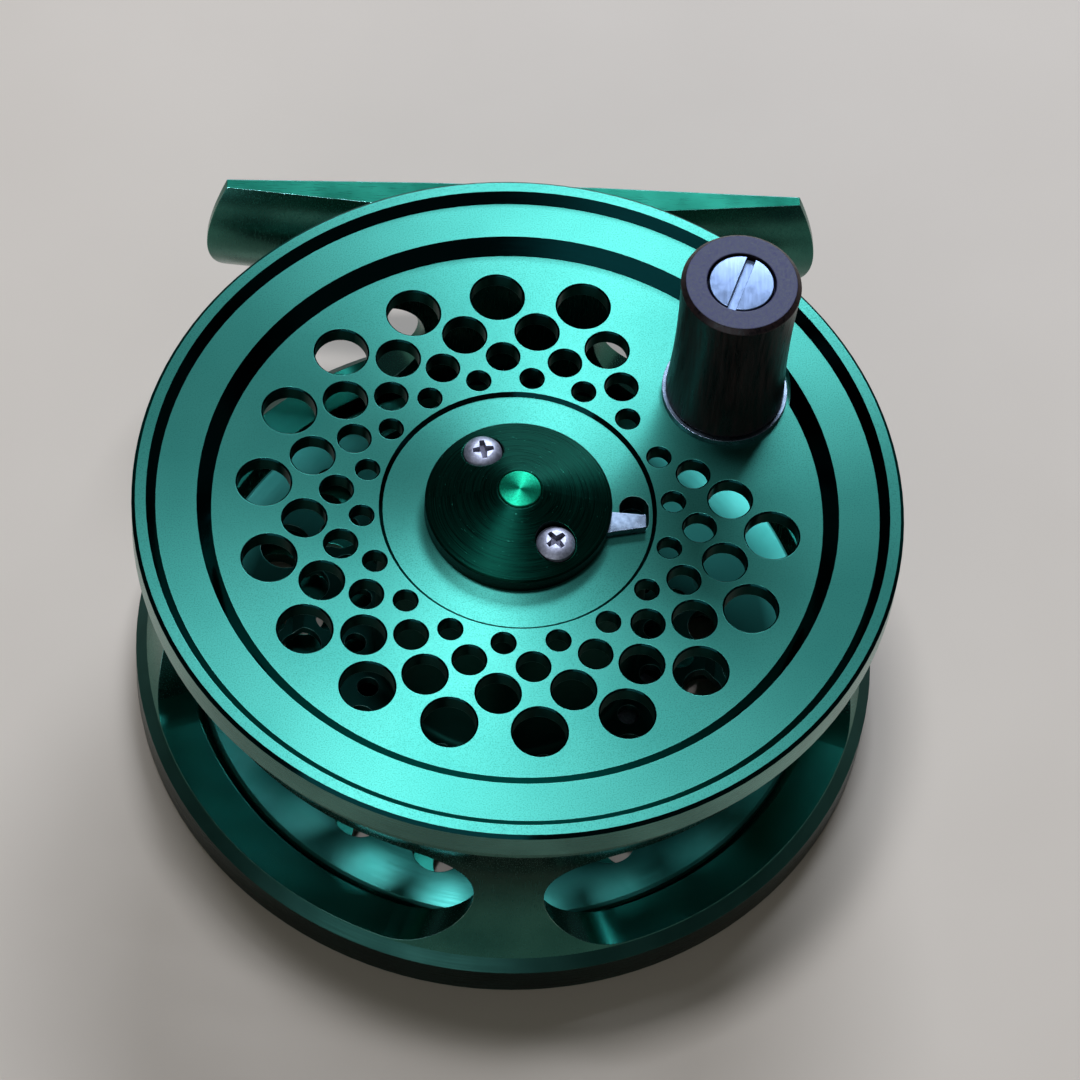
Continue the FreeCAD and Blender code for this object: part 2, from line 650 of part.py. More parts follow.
def spool_profile():
    """Half section of the spool, from the neck hole over the face, the rim and the arbor."""
    lip = "(frame_bore - bore_gap)"
    cavity = "(arbor_radius - arbor_wall)"
    rear_low = "rear_band_top - rear_thickness"
    return [("neck_hole", "hub_height"), ("hub_step_radius - hub_step", "hub_height"),
            ("hub_step_radius", "web_height"), ("web_radius", "web_height"),
            ("web_radius + mid_height - web_height", "mid_height"),
            ("spool_radius - rim_chamfer - rim_band - outer_bevel", "mid_height"),
            ("spool_radius - rim_chamfer - rim_band", "rim_height"),
            ("spool_radius - rim_chamfer", "rim_height"),
            ("spool_radius", "rim_height - rim_chamfer"), ("spool_radius", "rim_bottom + edge_break"),
            ("spool_radius - edge_break", "rim_bottom"), (lip, "rim_bottom"),
            (lip, web_under + " - lip_depth"), (lip + " - inner_lip", web_under + " - lip_depth"),
            (lip + " - inner_lip - lip_depth * 1.2", web_under),
            ("arbor_radius + arbor_fillet", web_under),
            ("arbor_radius", web_under + " - arbor_fillet", "arbor_fillet", 1),
            ("arbor_radius", dish_top + " + arbor_fillet"),
            ("arbor_radius + arbor_fillet", dish_top, "arbor_fillet", 1),
            ("rear_step_radius - rear_step", dish_top), ("rear_step_radius", "rear_band_top"),
            (rear_radius + " - edge_break", "rear_band_top"),
            (rear_radius, "rear_band_top - edge_break"), (rear_radius, rear_low),
            ("rear_step_radius", rear_low),
            ("rear_step_radius - rear_step", dish_top + " - rear_thickness"),
            (cavity, dish_top + " - rear_thickness"), (cavity, hub_under),
            ("hub_radius", hub_under), ("hub_radius", hub_bottom), (hub_bore, hub_bottom),
            (hub_bore, bush_shoulder), ("neck_hole", bush_shoulder)]


def make_spool():
    body = new_body("spool")
    turned(body, spool_profile())
    pitch = "360 / hole_count"
    rings = (("ring_one", "hole_one", 2, 3), ("ring_two", "hole_two", 1.5, 2),
             ("ring_three", "hole_three", 1, 1), ("ring_four", "hole_four", 0.5, 0))
    for ring, radius, steps, missing in rings:
        turn = "(knob_angle + " + str(steps) + " * " + pitch + ")"
        count = "hole_count - " + str(missing)
        span = "360" if missing == 0 else "360 - " + str(2 * steps) + " * " + pitch
        x, y = spot(turn, ring)
        wide = radius + " + hole_chamfer"
        hole = turned(body, [("0", "plate_top"), (radius, "plate_top"),
                             (radius, "web_height - hole_chamfer"), (wide, "web_height"),
                             (wide, "web_height + 1"), ("0", "web_height + 1")],
                      "Groove", offset="-" + y, shift=(x, "0"))
        repeat(body, [hole], count, span)
    drill(body, knob_x, knob_y, "spotface", "web_height", "rim_height")
    pad_disc(body, knob_x, knob_y, "knob_boss_radius", web_under + " - knob_boss",
             "knob_boss + web_thickness / 2")
    drill(body, knob_x, knob_y, "knob_screw_radius + thread_gap", web_under + " - knob_boss - 1",
          "knob_boss + web_thickness + 2")
    for up in ("slot_low", "slot_high"):
        drill(body, "slot_centre", up, "slot_radius", "hub_height - slot_depth", "slot_depth + 1")
    slot = new_sketch(body, "XY_Plane", offset="hub_height")
    draw_outline(slot, rectangle("slot_centre - slot_radius", "slot_centre + slot_radius",
                                 "slot_low", "slot_high"))
    add_feature(body, "Pocket", slot, cuts=True, Length="slot_depth")
    screw_hole = drill(body, pivot_x, pivot_y, "cap_screw_radius + thread_gap",
                       hub_under + " + cap_screw_radius / 2", "hub_plate + 1")
    repeat(body, [screw_hole], "2")
    return body


# hub cap and latch ---------------------------------------------------------------------

def make_cap():
    body = new_body("hub_cap")
    bore = "neck_radius + running_fit * 2"
    turned(body, [(bore, "hub_height"), ("cap_radius", "hub_height"),
                  ("cap_radius", "hub_height + cap_edge - cap_break"),
                  ("cap_radius - cap_break", "hub_height + cap_edge"),
                  (bore + " + cap_break", "cap_top"), (bore, "cap_top")])
    cavity = new_sketch(body, "XY_Plane", offset="hub_height")
    draw_circle(cavity, "0", "0", "cap_cavity")
    add_feature(body, "Pocket", cavity, cuts=True, Length="cavity_depth", Reversed=True)
    notch = new_sketch(body, "XY_Plane", offset="hub_height")
    draw_outline(notch, rectangle("cap_cavity - 2", "cap_radius + 1", "latch_low - notch_gap",
                                  "latch_high + latch_inner * latch_throw / cap_screw_ring * 1.4 + notch_gap"))
    add_feature(body, "Pocket", notch, cuts=True, Length="cavity_depth", Reversed=True)
    hole = drill(body, pivot_x, pivot_y, "cap_screw_radius + screw_gap", "hub_height - 1", "cap_top")
    sink = drill(body, pivot_x, pivot_y, "cap_head_radius + screw_gap * 2", "cap_head_floor",
                 "cap_top")
    repeat(body, [hole, sink], "2")
    return body


def make_cap_screws():
    body = new_body("cap_screws")
    for turn, cross_turn in (("cap_screw_angle", "10"), ("(cap_screw_angle + 180)", "40")):
        x, y = spot(turn, "cap_screw_ring")
        pan_screw(body, x, y, "cap_head_floor", "cap_head_radius", "cap_head", "cap_screw_radius",
                  "cap_screw_length")
        cross = new_sketch(body, "XY_Plane", offset="cap_head_floor + cap_head - cross_depth", shift=(x, y))
        draw_outline(cross, cross_outline(cross_turn))
        add_feature(body, "Pocket", cross, cuts=True, Length="cross_depth * 2", Reversed=True)
    return body


def cross_outline(turn):
    """A cross recess round the origin, each arm narrower at its end."""
    half, tip, reach = "(cross_width / 2)", "(cross_width * 0.35)", "(cross_length / 2)"
    corners = []
    for quarter in ("0", "90", "180", "270"):
        arm = "(" + turn + " + " + quarter + ")"
        corners += [spot(arm, reach, "-" + tip), spot(arm, reach, tip), spot(arm, half, half)]
    return corners


def make_latch():
    """Flat latch: an eye on the pivot screw, a ring round the spindle and a thumb piece.

    It is drawn at rest, its ring sprung into the spindle's groove by latch_throw. Swung back
    by as much, the ring stands true to the spindle and the spool lifts off.
    """
    body = new_body("latch_lever")
    ring = spot("(cap_screw_angle - 90)", "-latch_throw")
    pad_disc(body, ring[0], ring[1], "latch_ring", latch_bottom, "latch_thickness")
    pad_disc(body, pivot_x, pivot_y, "latch_eye", latch_bottom, "latch_thickness")
    arm = [("latch_ring / 2", "-latch_arm / 2"), ("cap_screw_ring", "-latch_eye"),
           ("cap_screw_ring", "latch_eye"), ("latch_ring / 2", "latch_arm / 2")]
    pad_outline(body, [spot("cap_screw_angle", out, "(" + aside + ")") for out, aside in arm],
                latch_bottom, "latch_thickness")
    pad_outline(body, [("latch_ring / 2", "latch_low"), ("latch_inner - latch_joggle * 3", "latch_low"),
                       ("latch_inner + latch_joggle", "latch_low + latch_joggle"),
                       ("latch_tip", "latch_low + latch_taper * 1.7"),
                       ("latch_tip", "latch_high - latch_taper / 2"), ("latch_inner", "latch_high"),
                       ("latch_ring / 2", "latch_taper - running_fit")],
                latch_bottom, "latch_thickness")
    pin_floor = "hub_height - slot_depth + latch_gap * 4"
    pad_disc(body, "slot_centre - pin_inset", "slot_low - pin_drop", "latch_pin", pin_floor,
             latch_bottom + " + latch_thickness / 2 - (" + pin_floor + ")")
    drill(body, ring[0], ring[1], "latch_hole", latch_bottom + " - 2", "latch_thickness + 3")
    drill(body, pivot_x, pivot_y, "cap_screw_radius + running_fit", latch_bottom + " - 2",
          "latch_thickness + 3")
    return body


def make_latch_spring():
    """A bowed wire between the thumb piece and the eye, drawn without its own deflection."""
    body = new_body("latch_spring")
    lead = "asin(-latch_high * 0.35 / spring_ring)"
    finish = "(cap_screw_angle * 1 deg - 2 * asin(latch_eye * 1.02 / 2 / spring_ring))"
    section = new_sketch(body, "XZ_Plane", turn="(" + finish + " - " + lead + ") / 2")
    draw_circle(section, "spring_ring", latch_bottom + " + latch_thickness / 2", "spring_wire")
    add_feature(body, "Revolution", section, Angle=finish + " + " + lead, Midplane=True)
    return body


# knob ----------------------------------------------------------------------------------

def make_knob():
    body = new_body("knob")
    base = sleeve_bottom + " + end_play"
    bore = "sleeve_radius + running_fit"
    recess = "knob_head_radius + knob_head_gap"
    floor = head_seat + " - end_play * 1.5"
    turned(body, [(bore, base), ("knob_base_radius - knob_base_break", base),
                  ("knob_base_radius", base + " + knob_base_break"),
                  ("knob_top_radius", "knob_top - knob_chamfer_height", "knob_waist_arc", -1),
                  ("knob_top_radius - knob_chamfer", "knob_top"), (recess, "knob_top"),
                  (recess, floor), (bore, floor)])
    place_on_knob_axis(body)
    return body


def place_on_knob_axis(body):
    """Move a piece from the origin to the knob's own axis on the spool's face."""
    body.setExpression("Placement.Base.x", bound(knob_x))
    body.setExpression("Placement.Base.y", bound(knob_y))


def make_knob_screw():
    body = new_body("knob_screw")
    crown = head_seat + " + knob_head"
    tip = web_under + " - knob_boss"
    turned(body, [("0", tip), ("knob_screw_radius", tip), ("knob_screw_radius", head_seat),
                  ("knob_head_radius", head_seat), ("knob_head_radius", crown + " - knob_head_edge * 2"),
                  ("knob_head_radius - knob_head_edge", crown + " - knob_head_edge"),
                  ("0", crown, "knob_head_radius * 20", 1)])
    slot = new_sketch(body, "XY_Plane", offset=crown + " - knob_slot_depth")
    draw_outline(slot, turned_rectangle("knob_slot_angle", "(knob_head_radius + 1)",
                                        "(knob_slot / 2)"))
    add_feature(body, "Pocket", slot, cuts=True, Length="2", Reversed=True)
    place_on_knob_axis(body)
    return body


# click ---------------------------------------------------------------------------------

def make_gear():
    body = make_ring("click_gear", "hub_radius + press_gap", "gear_root", hub_bottom, "gear_thickness")
    foot = "gear_root - tooth_root_width / 6"
    tooth = pad_outline(body, [(foot, "-tooth_root_width / 2"), ("gear_tip", "-tooth_tip_width / 2"),
                               ("gear_tip", "tooth_tip_width / 2"), (foot, "tooth_root_width / 2")],
                        hub_bottom, "gear_thickness")
    repeat(body, [tooth], "gear_teeth")
    return body


def make_pawl(label, turn):
    """A pawl drawn on the X axis with its nose towards the gear, then swung to its place."""
    body = new_body(label)
    back = "(pawl_ring + pawl_flat)"
    flat = "(sqrt(pow(pawl_eye; 2) - pow(pawl_flat; 2)))"
    nose = "(gear_tip + pawl_nose_gap)"
    pad_outline(body, [(back, flat), ("pawl_ring", "pawl_eye", "pawl_eye", 1),
                       (nose, "pawl_nose_width / 2"), (nose, "-pawl_nose_width / 2"),
                       ("pawl_ring", "-pawl_eye"),
                       (back, "-" + flat, "pawl_eye", 1)],
                pawl_bottom, "pawl_thickness")
    drill(body, "pawl_ring", "0", "post_radius + running_fit", pawl_bottom + " - 1", "pawl_thickness + 2")
    turn_body(body, turn)
    return body


def turn_body(body, turn):
    """Swing a piece that was drawn on the X axis about the spool's axis."""
    body.Placement = FreeCAD.Placement(FreeCAD.Vector(), FreeCAD.Rotation(FreeCAD.Vector(0, 0, 1), 1))
    body.setExpression("Placement.Rotation.Angle", bound(turn))


def make_posts():
    body = new_body("pawl_posts")
    collar = "(" + pawl_bottom + " - end_play)"
    head = "(" + pawl_bottom + " + pawl_thickness + end_play)"
    for turn in pawl_turns:
        x, y = spot(turn, "pawl_ring")
        turned(body, [("0", root_floor), ("post_root", root_floor), ("post_root", "plate_top"),
                      ("post_head_radius", "plate_top"), ("post_head_radius", collar),
                      ("post_radius", collar), ("post_radius", head), ("post_head_radius", head),
                      ("post_head_radius", head + " + post_head"), ("0", head + " + post_head")],
               offset="-" + y, shift=(x, "0"))
    return body


def make_leaf(label, turn):
    """A leaf spring stood on edge behind a pawl's flat, with a bent tab under its screw."""
    body = new_body(label)
    outer = leaf_face + " + leaf_thickness"
    end = "leaf_length - leaf_reach"
    pad_outline(body, rectangle(leaf_face, outer, "-leaf_reach", end), "plate_top",
                "pawl_lift + pawl_thickness - end_play")
    pad_outline(body, rectangle(outer + " - leaf_tab", outer, end + " - leaf_tab", end), "plate_top",
                "leaf_thickness")
    drill(body, leaf_screw_out, leaf_screw_along, "leaf_screw_radius + screw_gap", "plate_top - 1",
          "leaf_thickness + 2")
    turn_body(body, turn)
    return body


def make_leaf_screws():
    body = new_body("pawl_spring_screws")
    for turn in pawl_turns:
        x, y = spot(turn, leaf_screw_out, leaf_screw_along)
        pan_screw(body, x, y, "(plate_top + leaf_thickness)", "leaf_screw_head", "leaf_screw_crown",
                  "leaf_screw_radius", "(leaf_thickness + post_root)")
    return body


def make_knob_stack():
    """The washer and the sleeve that stand still under and inside the turning knob."""
    bore = "knob_screw_radius + screw_gap"
    washer = make_ring("knob_washer", bore, "knob_washer_radius", "web_height", "knob_washer")
    sleeve = make_ring("knob_sleeve", bore, "sleeve_radius", sleeve_bottom,
                       head_seat + " - " + sleeve_bottom)
    for body in (washer, sleeve):
        place_on_knob_axis(body)
    return [washer, sleeve]


pieces = [make_frame(), make_foot(), make_foot_screws(), make_spindle(), make_spindle_screw()]
pieces.append(make_ring("thrust_washer", "spindle_radius + running_fit", "spindle_shoulder_radius",
                        "plate_top + spindle_shoulder", "washer_thickness"))
pieces.append(make_spool())
for label, bottom in (("spool_lower_bush", hub_bottom),
                      ("spool_upper_bush", bush_shoulder + " - bush_length")):
    pieces.append(make_ring(label, "spindle_radius + running_fit", bush_radius, bottom, "bush_length"))
pieces += [make_cap(), make_cap_screws(), make_latch(), make_latch_spring()]
pieces += [make_knob(), make_knob_screw()] + make_knob_stack()
pieces += [make_gear(), make_posts(), make_leaf_screws()]
for side, turn in zip(("right", "left"), pawl_turns):
    pieces.append(make_pawl(side + "_pawl", turn))
    pieces.append(make_leaf(side + "_pawl_spring", turn))

doc.recompute()
for item in doc.Objects:
    if "Invalid" in item.State or "Error" in item.State:
        raise RuntimeError(item.Label + " could not be computed")
for piece in pieces:
    if piece.Shape.isNull() or not piece.Shape.isValid() or not piece.Shape.Solids:
        raise RuntimeError(piece.Label + " has no sound solid")

os.makedirs("parts", exist_ok=True)
for piece in pieces:
    piece.Shape.exportStep("parts/" + piece.Label + ".step")
    print(piece.Label, len(piece.Shape.Solids), round(piece.Shape.Volume, 2))
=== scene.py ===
import math

import bpy
from mathutils import Matrix, Vector


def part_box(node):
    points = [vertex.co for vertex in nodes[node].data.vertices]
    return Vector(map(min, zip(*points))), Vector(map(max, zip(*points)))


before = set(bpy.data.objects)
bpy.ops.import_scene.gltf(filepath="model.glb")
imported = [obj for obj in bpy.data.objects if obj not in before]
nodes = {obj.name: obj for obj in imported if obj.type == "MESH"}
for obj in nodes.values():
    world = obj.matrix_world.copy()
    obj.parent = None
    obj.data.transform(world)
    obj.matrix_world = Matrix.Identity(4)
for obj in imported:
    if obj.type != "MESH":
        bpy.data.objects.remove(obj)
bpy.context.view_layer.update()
mm = 0.001
print("frame loaded:", len(nodes), "nodes")


def linear(hexColour):  # an sRGB hex colour as linear red, green, blue and alpha
    channels = [int(hexColour[i:i + 2], 16) / 255 for i in (1, 3, 5)]
    return [c / 12.92 if c <= 0.04045 else ((c + 0.055) / 1.055) ** 2.4 for c in channels] + [1]


def addNode(tree, kind, settings=None, **links):
    # settings go on the node or its sockets, links feed its sockets; "#6" or n6 is a socket by its number
    node = tree.nodes.new(kind)
    for name, value in (settings or {}).items():
        if hasattr(node, name):
            setattr(node, name, value)
        else:
            node.inputs[int(name[1:]) if name[0] == "#" else name].default_value = value
    for name, source in links.items():
        socket = int(name[1:]) if name[0] == "n" and name[1:].isdigit() else name.replace("_", " ")
        tree.links.new(source, node.inputs[socket])
    return node


def newMaterial(name, settings):
    material = bpy.data.materials.new(name)
    material.use_nodes = True
    tree = material.node_tree
    shader = tree.nodes["Principled BSDF"]
    for socket, value in settings.items():
        shader.inputs[socket].default_value = value
    return material, tree, shader


def newTurnedMetal(name, anisotropy, **more):  # a metal with its tool marks round the spool's axis
    quarterTurn = 0.25  # lays the shine across the marks
    material, tree, shader = newMaterial(name, {"Metallic": 1.0, "Anisotropic": anisotropy,
                                                "Anisotropic Rotation": quarterTurn, **more})
    tangent = addNode(tree, "ShaderNodeTangent", {"direction_type": "RADIAL", "axis": "Z"})
    tree.links.new(tangent.outputs["Tangent"], shader.inputs["Tangent"])
    return material, tree, shader


# lengths in the dictionaries are in millimetres unless a note says otherwise
middle = (0.35, 0.65)  # the part of a noise where nearly all of its values lie
onEdge = (0.1, 0.35)  # the lean of a rounded normal, from no edge to a full one
bevelSamples = 8


def grain(tree, size, detail=2.0, stretch=(1, 1, 1), rough=0.5):
    # noise with grains this many millimetres across
    place = addNode(tree, "ShaderNodeTexCoord")
    scaled = addNode(tree, "ShaderNodeMapping", {"Scale": stretch}, Vector=place.outputs["Object"])
    noise = addNode(tree, "ShaderNodeTexNoise",
                    {"Scale": 1 / (size * mm), "Detail": detail, "Roughness": rough},
                    Vector=scaled.outputs["Vector"])
    return noise.outputs["Fac"]


def roundAxis(tree):  # distance from the spool's axis, angle round it and height
    place = addNode(tree, "ShaderNodeTexCoord")
    parts = addNode(tree, "ShaderNodeSeparateXYZ", Vector=place.outputs["Object"])
    flat = addNode(tree, "ShaderNodeCombineXYZ", X=parts.outputs["X"], Y=parts.outputs["Y"])
    radius = addNode(tree, "ShaderNodeVectorMath", {"operation": "LENGTH"}, n0=flat.outputs["Vector"])
    angle = addNode(tree, "ShaderNodeMath", {"operation": "ARCTAN2"},
                    n0=parts.outputs["Y"], n1=parts.outputs["X"])
    return radius.outputs["Value"], angle.outputs["Value"], parts.outputs["Z"]


def turnedLines(tree, pitch, detail=3.0, sweep=0.3, rough=0.7):
    # rings left by a turning tool, uneven from one to the next; a larger sweep breaks them up more often
    radius, angle, height = roundAxis(tree)
    slow = addNode(tree, "ShaderNodeMath", {"operation": "MULTIPLY", "#1": sweep * mm}, n0=angle)
    along = addNode(tree, "ShaderNodeCombineXYZ", X=radius, Y=slow.outputs["Value"], Z=height)
    noise = addNode(tree, "ShaderNodeTexNoise",
                    {"Scale": 1 / (pitch * mm), "Detail": detail, "Roughness": rough},
                    Vector=along.outputs["Vector"])
    return noise.outputs["Fac"]


def edgeLean(tree, width):  # 0 on a flat, and more where a rounded edge leans: the mask for painted edge highlights
    rounded = addNode(tree, "ShaderNodeBevel", {"samples": bevelSamples, "Radius": width * mm})
    flat = addNode(tree, "ShaderNodeNewGeometry")
    lean = addNode(tree, "ShaderNodeVectorMath", {"operation": "DOT_PRODUCT"},
                   n0=rounded.outputs["Normal"], n1=flat.outputs["Normal"])
    away = addNode(tree, "ShaderNodeMath", {"operation": "SUBTRACT", "#0": 1.0}, n1=lean.outputs["Value"])
    return away.outputs["Value"]


def layColours(tree, shader, base, *layers):
    # each layer is (colour, pattern, (start, end), share)
    # it covers more, up to its share, as the pattern goes from start to end
    below = {}
    for colour, pattern, (start, end), share in layers:
        cover = addNode(tree, "ShaderNodeMapRange", {"From Min": start, "From Max": end, "To Max": share},
                        Value=pattern)
        mix = addNode(tree, "ShaderNodeMix",
                      {"data_type": "RGBA", "#6": linear(base), "#7": linear(colour)},
                      n0=cover.outputs["Result"], **below)
        below = {"n6": mix.outputs[2]}
    tree.links.new(mix.outputs[2], shader.inputs["Base Color"])


def layMarks(tree, shader, marks, finish, shine=None):
    # the marks raise the surface and change its roughness, and a hair of round softens each sharp edge
    rounded = addNode(tree, "ShaderNodeBevel", {"samples": bevelSamples, "Radius": finish["round"] * mm})
    bump = addNode(tree, "ShaderNodeBump",
                   {"Strength": finish["strength"], "Distance": finish["depth"] * mm},
                   Height=marks, Normal=rounded.outputs["Normal"])
    tree.links.new(bump.outputs["Normal"], shader.inputs["Normal"])
    if "roughness" in finish:
        low, high = finish["roughness"]
        rough = addNode(tree, "ShaderNodeMapRange", {"From Min": middle[0], "From Max": middle[1],
                                                     "To Min": low, "To Max": high},
                        Value=marks if shine is None else shine)
        tree.links.new(rough.outputs["Result"], shader.inputs["Roughness"])


blasted = {
    "deep": "#337A6A", "light": "#408977", "cloud": 14.0, "cloudRange": (0.2, 0.8),
    "pit": "#0F4A3D", "grit": 0.13, "pitRange": (0.48, 0.72), "pitShare": 0.5,
    "edge": "#B9F2E4", "edgeWidth": 0.14, "anisotropy": 0.78, "roughness": (0.36, 0.46),
    "depth": 0.008, "strength": 0.5, "round": 0.06,
}


def blastedAnodising():
    # green anodised aluminium, turned and then blasted: two broad fans of light, sparkling with pits
    # a blasted pit is about 0.05 mm across, too fine to show, so it is drawn coarser
    material, tree, shader = newTurnedMetal("blastedGreenAnodising", blasted["anisotropy"])
    pits = grain(tree, blasted["grit"], rough=0.7)
    layColours(tree, shader, blasted["deep"],
               (blasted["light"], grain(tree, blasted["cloud"], detail=3), blasted["cloudRange"], 1),
               (blasted["pit"], pits, blasted["pitRange"], blasted["pitShare"]),
               # the near-white edge colour is a painted highlight along the face's edges
               (blasted["edge"], edgeLean(tree, blasted["edgeWidth"]), onEdge, 1))
    layMarks(tree, shader, pits, blasted)
    return material


# the bevel's near-black colour is a painted reflection of the dark room
bevel = {
    "colour": "#062A2A", "grazing": "#A6BAB8", "edge": "#5FB8A4", "edgeWidth": 0.07, "pitch": 0.05,
    "roughness": (0.08, 0.16), "depth": 0.0006, "strength": 0.3, "round": 0.05,
}


def diamondCutBevel():
    # anodised groove cut with a polished tool: almost a mirror, its colour painted near black as a painted
    # reflection of the dark room
    # the tool's lines are about 0.02 mm apart, too fine to show, so they are drawn coarser
    material, tree, shader = newMaterial("polishedBevelPaintedDark",
                                         {"Metallic": 1.0, "Specular Tint": linear(bevel["grazing"])})
    layColours(tree, shader, bevel["colour"],
               # the pale edge colour is a painted highlight along the bevel's edges
               (bevel["edge"], edgeLean(tree, bevel["edgeWidth"]), onEdge, 1))
    layMarks(tree, shader, turnedLines(tree, bevel["pitch"]), bevel)
    return material


turnedMarks = {"pitch": 0.09, "cloud": 7.0, "edge": "#A9D8CC", "edgeWidth": 0.12,
               "strength": 0.5, "round": 0.12}
turned = {
    "side": {  # the spool's rim: an even, bright band of fine lines
        "name": "turnedGreenAnodising", "deep": "#477D73", "light": "#589388",
        "roughness": (0.2, 0.3), "anisotropy": 0.45, "depth": 0.002},
    "sill": {  # the ledge round the back plate, polished: a clear streak in each window
        "name": "polishedGreenSill", "deep": "#1F7563", "light": "#278270",
        "roughness": (0.24, 0.27), "anisotropy": 0.6, "depth": 0.0004},
    "shadedCageSide": {  # the cage's outer wall, painted darker as shade: nearly black with a soft line of light
        "name": "turnedGreenSidePaintedShade", "deep": "#182F2A", "light": "#203B35",
        "roughness": (0.24, 0.34), "anisotropy": 0.45, "depth": 0.002},
    "chamfer": {  # the slope round the back plate's edge: a dull, deep green ring
        "name": "turnedGreenChamfer", "deep": "#284F47", "light": "#325E55",
        "roughness": (0.34, 0.46), "anisotropy": 0.45, "depth": 0.002},
}


def turnedAnodising(finish):
    # green anodised aluminium left as turned: fine lines round the axis draw the light out into streaks
    # a finishing cut leaves lines about 0.05 mm apart, too fine to show, so they are drawn coarser
    material, tree, shader = newTurnedMetal(finish["name"], finish["anisotropy"])
    layColours(tree, shader, finish["deep"],
               (finish["light"], grain(tree, finish["cloud"], detail=3), middle, 1),
               # the pale edge colour is a painted highlight along each edge
               (finish["edge"], edgeLean(tree, finish["edgeWidth"]), onEdge, 1))
    layMarks(tree, shader, turnedLines(tree, finish["pitch"]), finish)
    return material


# the inside's colours are painted lighter than the face as painted light; the dull colour is painted shade
# towards the arbor
flangeInside = {
    "deep": "#3C9787", "light": "#4FAC9B", "cloud": 5.0, "paintedShade": "#143F37", "shadeBetween": (31.5, 27.0),
    "pitch": 0.09, "anisotropy": 0.84, "roughness": (0.34, 0.46), "depth": 0.002,
}


def litAndShadedFlange():
    # the same turned anodising inside the spool, painted lighter than the face as painted light, and painted
    # darker towards the arbor as painted shade
    finish = {**turnedMarks, **flangeInside}
    material, tree, shader = newTurnedMetal("turnedGreenFlangeInsidePaintedLight", finish["anisotropy"])
    shadeFrom, shadeTo = (radius * mm for radius in finish["shadeBetween"])
    layColours(tree, shader, finish["deep"],
               (finish["light"], grain(tree, finish["cloud"], detail=3), middle, 1),
               # painted shade: darker from the outer radius in to the inner one
               (finish["paintedShade"], roundAxis(tree)[0], (shadeFrom, shadeTo), 1),
               (finish["edge"], edgeLean(tree, finish["edgeWidth"]), onEdge, 1))
    layMarks(tree, shader, turnedLines(tree, finish["pitch"]), finish)
    return material


milledMarks = {"pitch": 0.12, "cloud": 6.0, "edge": "#A9D8CC", "edgeWidth": 0.16,
               "depth": 0.0008, "strength": 0.4, "round": 0.1}
milled = {
    "cage": {  # upright cutter marks on the cage's posts and windows: smooth, with a faint ripple
        "name": "milledGreenAnodising", "deep": "#31655A", "light": "#3D7467",
        "roughness": (0.18, 0.28), "stretch": (1, 1, 0.05)},
    "footEdge": {  # saw marks along the foot's edges: coarse bright streaks
        "name": "sawnGreenEdge", "deep": "#093E2F", "light": "#185A47",
        "roughness": (0.25, 0.42), "stretch": (0.05, 1, 1)},
}


def milledAnodising(finish):
    # anodised aluminium left as milled: smooth, with faint cutter marks one way
    # a cutter's marks are about 0.05 mm apart, too fine to show, so they are drawn coarser
    material, tree, shader = newMaterial(finish["name"], {"Metallic": 1.0})
    layColours(tree, shader, finish["deep"],
               (finish["light"], grain(tree, finish["cloud"], detail=3), middle, 1),
               # the pale edge colour is a painted highlight along each edge
               (finish["edge"], edgeLean(tree, finish["edgeWidth"]), onEdge, 1))
    layMarks(tree, shader, grain(tree, finish["pitch"], 2, finish["stretch"]), finish)
    return material


cap = {
    "deep": "#031A13", "light": "#04291E", "pitch": 0.07, "sweep": 0.08,
    "scratch": "#3A9478", "scratchPitch": 0.13, "scratchSweep": 0.9, "scratchRange": (0.7, 0.78),
    "edge": "#3CB48C", "edgeWidth": 0.1, "anisotropy": 0.75, "roughness": (0.24, 0.36),
    "depth": 0.0015, "strength": 0.5, "round": 0.12,
}


def faceTurnedCap():
    # nearly black green anodised cap, faced on a lathe: a soft fan of light under fine round scratches
    # its lines are about 0.04 mm apart and its scratches finer still, so both are drawn coarser to show
    material, tree, shader = newTurnedMetal("faceTurnedDarkGreen", cap["anisotropy"])
    lines = turnedLines(tree, cap["pitch"], detail=4, sweep=cap["sweep"])
    scratches = turnedLines(tree, cap["scratchPitch"], detail=2, sweep=cap["scratchSweep"])
    layColours(tree, shader, cap["deep"],
               (cap["light"], lines, middle, 1),
               (cap["scratch"], scratches, cap["scratchRange"], 1),
               # the bright edge colour is a painted highlight along the cap's edges
               (cap["edge"], edgeLean(tree, cap["edgeWidth"]), onEdge, 1))
    layMarks(tree, shader, lines, cap)
    return material


spindleEnd = {
    "deep": "#07573C", "light": "#148A63", "pitch": 0.06, "edge": "#BDF7DF", "edgeWidth": 0.1,
    "anisotropy": 0.85, "shaderRoughness": 0.34, "depth": 0.003, "strength": 0.6, "round": 0.12,
}


def turnedSpindle():
    # bright green anodised spindle with a faced end: rings so fine that the light fans out from the middle
    # the rings are about 0.03 mm apart, too fine to show, so they are drawn coarser
    material, tree, shader = newTurnedMetal("faceTurnedBrightGreen", spindleEnd["anisotropy"],
                                            Roughness=spindleEnd["shaderRoughness"])
    lines = turnedLines(tree, spindleEnd["pitch"])
    layColours(tree, shader, spindleEnd["deep"],
               (spindleEnd["light"], lines, middle, 1),
               # the near-white edge colour is a painted highlight along the spindle's edges
               (spindleEnd["edge"], edgeLean(tree, spindleEnd["edgeWidth"]), onEdge, 1))
    layMarks(tree, shader, lines, spindleEnd)
    return material


